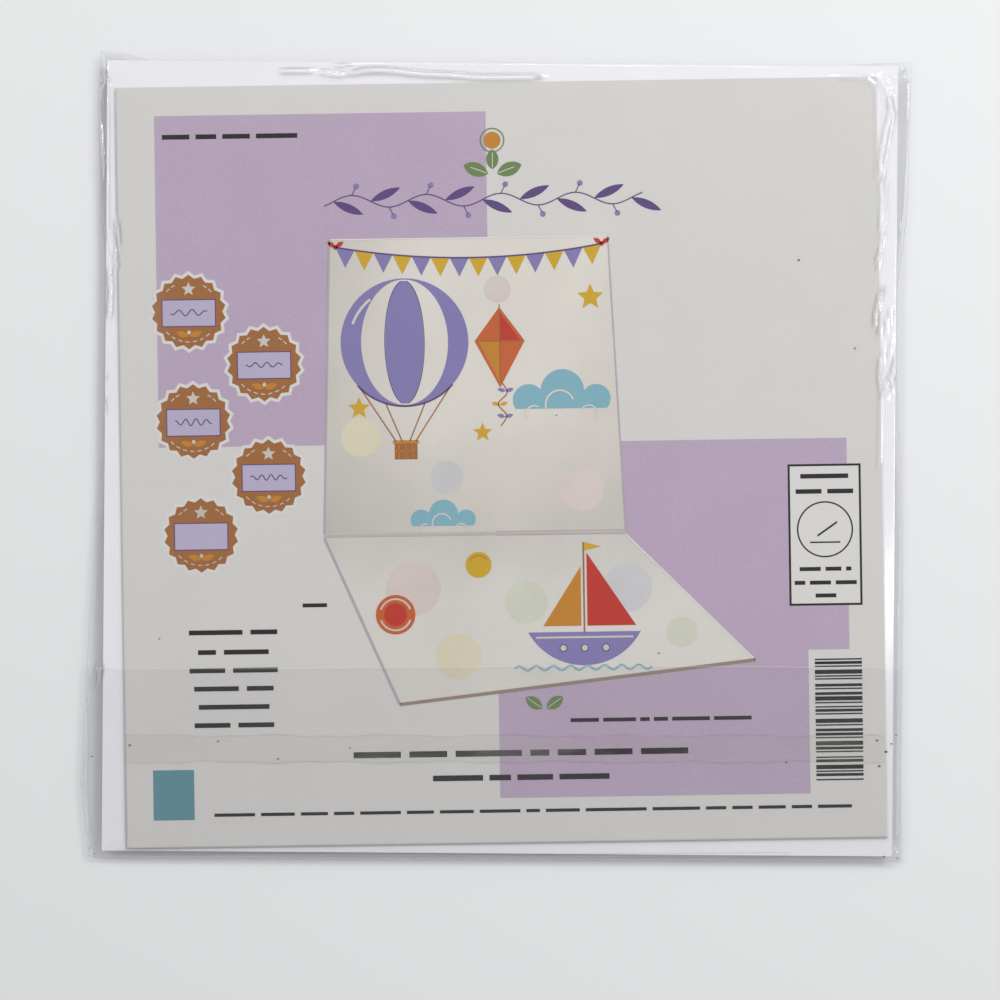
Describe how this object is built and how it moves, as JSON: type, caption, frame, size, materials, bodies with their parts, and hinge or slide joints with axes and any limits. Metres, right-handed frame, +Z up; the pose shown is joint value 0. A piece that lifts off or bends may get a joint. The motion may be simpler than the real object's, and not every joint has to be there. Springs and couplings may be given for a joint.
{
  "type": "greeting card",
  "caption": "Pop-up greeting card with its envelope and a printed insert sheet, packed flat in a clear film sleeve with a glued flap.",
  "frame": {"origin": "on the floor under the middle of the sleeve, which lies flat with its print up", "axes": "+Z up, +X to the right and +Y to the top of the printed side"},
  "size_m": [0.174, 0.1696, 0.0033],
  "materials": {
    "film": "clear gloss film",
    "glue": "hazy clear glue",
    "insert_paper": "smooth coated paper",
    "envelope_paper": "plain white paper",
    "cover_board": "matt lilac board",
    "popup_board": "matt white board",
    "backing_paper": "waxed paper",
    "sticker_face": "semi-gloss paper",
    "ink_lilac": "printed paper",
    "ink_teal": "printed paper",
    "ink_cream": "printed paper",
    "ink_floor_cream": "printed paper",
    "ink_white": "printed paper",
    "ink_dark": "printed paper",
    "ink_title": "printed paper",
    "ink_pale_yellow": "printed paper",
    "ink_pale_pink": "printed paper",
    "ink_pale_blue": "printed paper",
    "ink_pale_green": "printed paper",
    "ink_brown": "printed paper",
    "ink_violet": "printed paper",
    "ink_sky_blue": "printed paper",
    "ink_orange": "printed paper",
    "ink_yellow": "printed paper",
    "ink_green": "printed paper",
    "ink_red": "printed paper",
    "ink_ochre": "printed paper",
    "ink_label": "printed paper"
  },
  "bodies": {
    "root": {"clear_sleeve": "film", "adhesive_strip": "glue", "insert_sheet": "insert_paper", "envelope": "envelope_paper", "card_cover": "cover_board", "popup_arm_left": "popup_board", "popup_arm_right": "popup_board", "popup_canopy": "popup_board", "popup_cloud": "popup_board", "popup_star": "popup_board", "popup_kite": "popup_board", "popup_boat": "popup_board", "sticker_backing": "backing_paper", "print_lilac_fields": "ink_lilac", "print_teal_square": "ink_teal", "print_picture_back": "ink_cream", "print_picture_floor": "ink_floor_cream", "print_box_ground": "ink_white", "print_badge_rims": "ink_white", "print_words": "ink_dark", "print_title_ornament": "ink_title", "print_spots_yellow": "ink_pale_yellow", "print_spots_pink": "ink_pale_pink", "print_spots_blue": "ink_pale_blue", "print_spots_green": "ink_pale_green", "print_brown": "ink_brown", "print_violet": "ink_violet", "print_sky_blue": "ink_sky_blue", "print_orange": "ink_orange", "print_yellow": "ink_yellow", "print_green": "ink_green", "print_cream_details": "ink_cream", "print_labels": "ink_label", "print_red": "ink_red", "print_ochre": "ink_ochre", "print_stripe": "ink_violet", "sticker_1": "sticker_face", "sticker_2": "sticker_face", "sticker_3": "sticker_face", "sticker_4": "sticker_face", "sticker_5": "sticker_face"}
  },
  "joints": []
}
